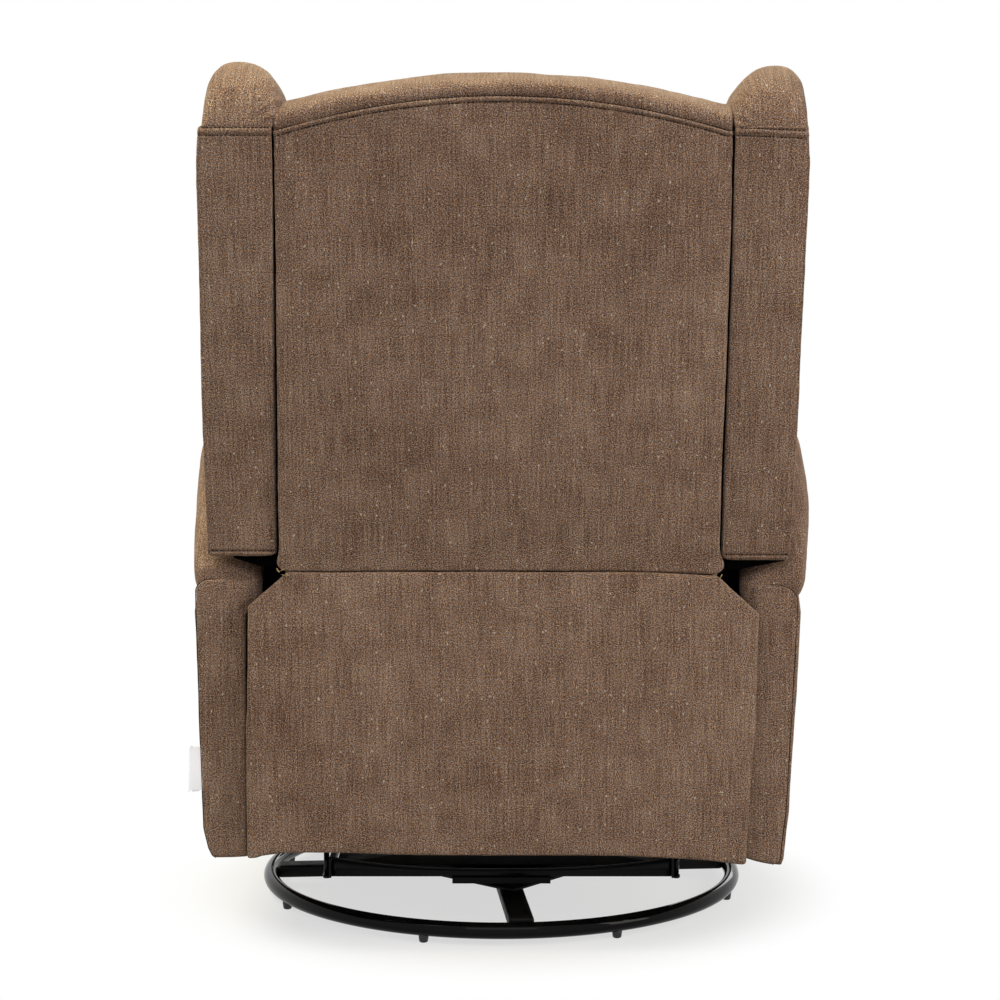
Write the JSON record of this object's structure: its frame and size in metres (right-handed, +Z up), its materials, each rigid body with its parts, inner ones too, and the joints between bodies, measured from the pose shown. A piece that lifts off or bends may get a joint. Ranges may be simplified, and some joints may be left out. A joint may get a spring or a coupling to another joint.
{
  "type": "swivel glider recliner",
  "caption": "Upholstered wing-back recliner that swivels on a round floor ring, glides on hanging links, reclines and opens a footrest.",
  "frame": {"origin": "on the floor under the swivel axis", "axes": "+Z up, -Y the way the sitter faces, +X the sitter's left"},
  "size_m": [0.756, 0.8901, 1.056],
  "materials": {
    "black_steel": "gloss black paint",
    "dark_steel": "satin black paint",
    "zinc_steel": "bright zinc plate",
    "black_plastic": "matte black nylon",
    "frame_wood": "sawn plywood",
    "chenille": "taupe brown woven chenille",
    "white_tape": "white woven tape, bare"
  },
  "bodies": {
    "base": {"base_ring": "black_steel", "base_cross": "black_steel", "hub_plate": "black_steel", "swivel_stud": "zinc_steel", "swivel_race_lower": "zinc_steel", "ring_glide_1": "black_plastic", "ring_glide_2": "black_plastic", "ring_glide_3": "black_plastic", "ring_glide_4": "black_plastic", "ring_glide_5": "black_plastic", "ring_glide_6": "black_plastic", "ring_glide_7": "black_plastic", "ring_glide_8": "black_plastic"},
    "turntable": {"swivel_race_upper": "zinc_steel", "turntable_plate": "dark_steel", "crossmember_rear": "black_steel", "crossmember_front": "black_steel", "hanger_bracket_left": "dark_steel", "hanger_bracket_right": "dark_steel"},
    "glide_links_front": {"glide_link_front_left": "zinc_steel", "glide_link_front_right": "zinc_steel"},
    "glide_links_rear": {"glide_link_rear_left": "zinc_steel", "glide_link_rear_right": "zinc_steel"},
    "seat_base": {"mechanism_plate_left": "dark_steel", "mechanism_plate_right": "dark_steel", "seat_rail_front": "frame_wood", "seat_rail_rear": "frame_wood", "seat_spring_1": "zinc_steel", "seat_spring_2": "zinc_steel", "seat_spring_3": "zinc_steel", "seat_cushion": "chenille", "arm_left": "chenille", "arm_right": "chenille", "arm_pad_left": "chenille", "arm_pad_right": "chenille", "arm_rear_panel_left": "chenille", "arm_rear_panel_right": "chenille", "lower_back_panel": "chenille", "blank_tag": "white_tape"},
    "backrest": {"back_bracket_left": "dark_steel", "back_bracket_right": "dark_steel", "back_post_left": "frame_wood", "back_post_right": "frame_wood", "back_rail_top": "frame_wood", "back_rail_bottom": "frame_wood", "back_outer_panel": "chenille", "back_top_roll": "chenille", "upper_back_cushion": "chenille", "lumbar_cushion": "chenille", "wing_left": "chenille", "wing_right": "chenille"},
    "footrest_lower_links": {"footrest_lower_link_left": "dark_steel", "footrest_lower_link_right": "dark_steel", "footrest_torsion_tube": "dark_steel"},
    "footrest_upper_links": {"footrest_upper_link_left": "dark_steel", "footrest_upper_link_right": "dark_steel"},
    "footrest": {"footrest_board": "frame_wood", "footrest_pad": "chenille"},
    "release_lever": {"release_lever": "black_plastic"}
  },
  "joints": [
    {"name": "swivel", "type": "hinge", "parent": "base", "child": "turntable", "pos_m": [0, 0, 0.042], "axis": [0, 0, 1], "continuous": true},
    {"name": "glide", "type": "hinge", "parent": "turntable", "child": "glide_links_front", "pos_m": [0, -0.11, 0.255], "axis": [1, 0, 0], "range_deg": [-25, 25]},
    {"name": "glide_seat", "type": "hinge", "parent": "glide_links_front", "child": "seat_base", "pos_m": [0, -0.11, 0.125], "axis": [1, 0, 0], "range_deg": [-25, 25]},
    {"name": "glide_rear_links", "type": "hinge", "parent": "turntable", "child": "glide_links_rear", "pos_m": [0, 0.11, 0.255], "axis": [1, 0, 0], "range_deg": [-25, 25]},
    {"name": "recline", "type": "hinge", "parent": "seat_base", "child": "backrest", "pos_m": [0, 0.333, 0.4], "axis": [-1, 0, 0], "range_deg": [0, 35]},
    {"name": "footrest_fold", "type": "hinge", "parent": "seat_base", "child": "footrest_lower_links", "pos_m": [0, -0.235, 0.325], "axis": [-1, 0, 0], "range_deg": [0, 60]},
    {"name": "footrest_knee", "type": "hinge", "parent": "footrest_lower_links", "child": "footrest_upper_links", "pos_m": [0, -0.32042, 0.13315], "axis": [-1, 0, 0], "range_deg": [-120, 0]},
    {"name": "footrest_tilt", "type": "hinge", "parent": "footrest_upper_links", "child": "footrest", "pos_m": [0, -0.33506, 0.34264], "axis": [-1, 0, 0], "range_deg": [0, 150]},
    {"name": "lever_pull", "type": "hinge", "parent": "seat_base", "child": "release_lever", "pos_m": [-0.279, -0.15, 0.415], "axis": [-1, 0, 0], "range_deg": [0, 30], "stiffness_Nm_per_rad": 0.8}
  ],
  "couplings": [
    {"joint": "glide_seat", "follows": "glide", "ratio": -1},
    {"joint": "glide_rear_links", "follows": "glide", "ratio": 1},
    {"joint": "footrest_knee", "follows": "footrest_fold", "ratio": -2},
    {"joint": "footrest_tilt", "follows": "footrest_fold", "ratio": 2.5}
  ]
}
